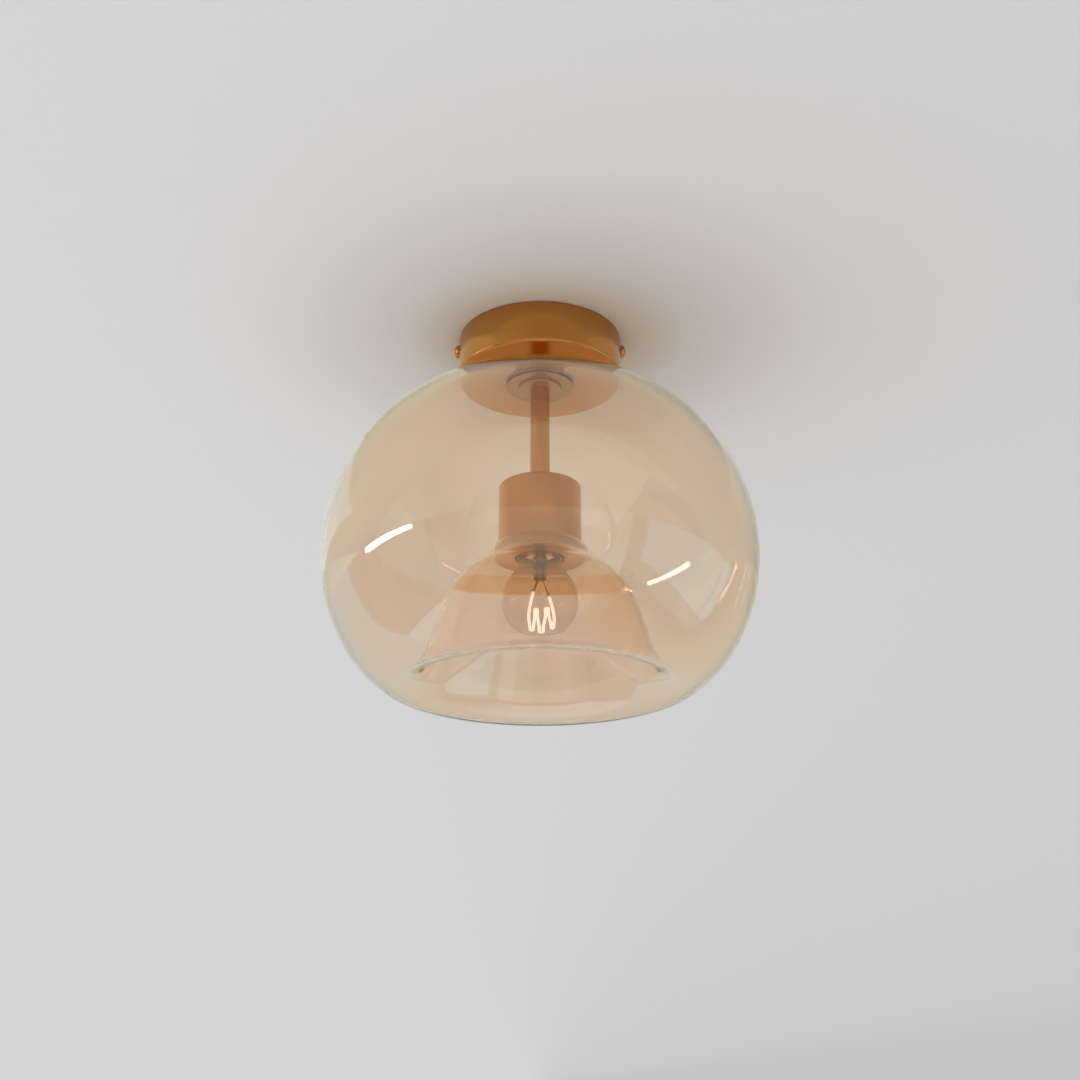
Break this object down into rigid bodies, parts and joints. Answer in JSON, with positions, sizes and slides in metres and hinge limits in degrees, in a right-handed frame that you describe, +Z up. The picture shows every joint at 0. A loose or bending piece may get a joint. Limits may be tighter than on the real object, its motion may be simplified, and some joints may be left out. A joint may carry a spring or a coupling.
{
  "type": "flush glass ceiling light",
  "caption": "Round blown glass ceiling shade, open below, clamped under a brass canopy, with a brass stem, cup lampholder and a screw-in globe lamp with a soft filament.",
  "frame": {"origin": "middle of the two ceiling screw slots, in the ceiling plane", "axes": "+Z up into the ceiling; X along the line of the two slots and of the two side screws; the picture looks along +Y"},
  "size_m": [0.2544, 0.2544, 0.223],
  "materials": {
    "satin_brass": "satin brass plating, warm and slightly rosy",
    "plain_brass": "turned brass, bare",
    "zinc_steel": "bright zinc plated steel",
    "nickel": "dull nickel plating",
    "amber_glass": "blown glass with a pale amber tint, fire polished",
    "lamp_glass": "thin clear glass with a faint smoke",
    "mount_glass": "clear pressed glass",
    "white_nylon": "white moulded nylon",
    "clear_silicone": "milky silicone sheet",
    "black_phenolic": "black moulded resin",
    "ceramic": "unglazed white ceramic",
    "brown_sleeve": "brown heat-proof sleeving",
    "blue_sleeve": "blue heat-proof sleeving",
    "green_sleeve": "green and yellow heat-proof sleeving",
    "shell_metal": "rolled nickel-plated shell",
    "black_glass": "black vitreous insulator",
    "solder": "solder tinned contact",
    "board_green": "green coated circuit board",
    "lead_wire": "nickel-iron lead wire",
    "clip_metal": "tinned clip",
    "filament_coat": "pale phosphor coat, glowing warm white"
  },
  "bodies": {
    "fixture": {"ceiling_bracket": "zinc_steel", "earth_screw": "plain_brass", "earth_lug": "solder", "terminal_block": "white_nylon", "terminal_inserts": "plain_brass", "terminal_screws": "zinc_steel", "block_screw": "zinc_steel", "canopy": "satin_brass", "canopy_nipple": "zinc_steel", "canopy_nut": "zinc_steel", "star_washer": "zinc_steel", "seat_gasket": "clear_silicone", "glass_shade": "amber_glass", "shade_bush": "white_nylon", "shade_gasket": "clear_silicone", "shade_washer": "nickel", "shade_nut": "nickel", "stem": "satin_brass", "live_wire": "brown_sleeve", "neutral_wire": "blue_sleeve", "earth_wire": "green_sleeve", "cup_nipple": "zinc_steel", "cup": "satin_brass", "cup_ring": "satin_brass", "cup_nut": "zinc_steel", "holder_cap": "black_phenolic", "contact_block": "ceramic", "holder_sleeve": "black_phenolic", "screw_shell": "nickel", "centre_contact": "plain_brass", "holder_terminal_screws": "plain_brass"},
    "lamp": {"lamp_globe": "lamp_glass", "lamp_cap": "shell_metal", "lamp_insulator": "black_glass", "lamp_contact": "solder", "driver_board": "board_green", "lamp_mount": "mount_glass", "lamp_leads": "lead_wire", "filament_clips": "clip_metal", "filament": "filament_coat"},
    "left_screw": {"canopy_screw_left": "satin_brass"},
    "right_screw": {"canopy_screw_right": "satin_brass"}
  },
  "joints": [
    {"name": "lamp_release", "type": "slide", "parent": "fixture", "child": "lamp", "axis": [0, 0, -1], "range_m": [0, 0.032]},
    {"name": "left_screw_out", "type": "slide", "parent": "fixture", "child": "left_screw", "axis": [-1, 0, 0], "range_m": [0, 0.009]},
    {"name": "right_screw_out", "type": "slide", "parent": "fixture", "child": "right_screw", "axis": [1, 0, 0], "range_m": [0, 0.009]}
  ]
}
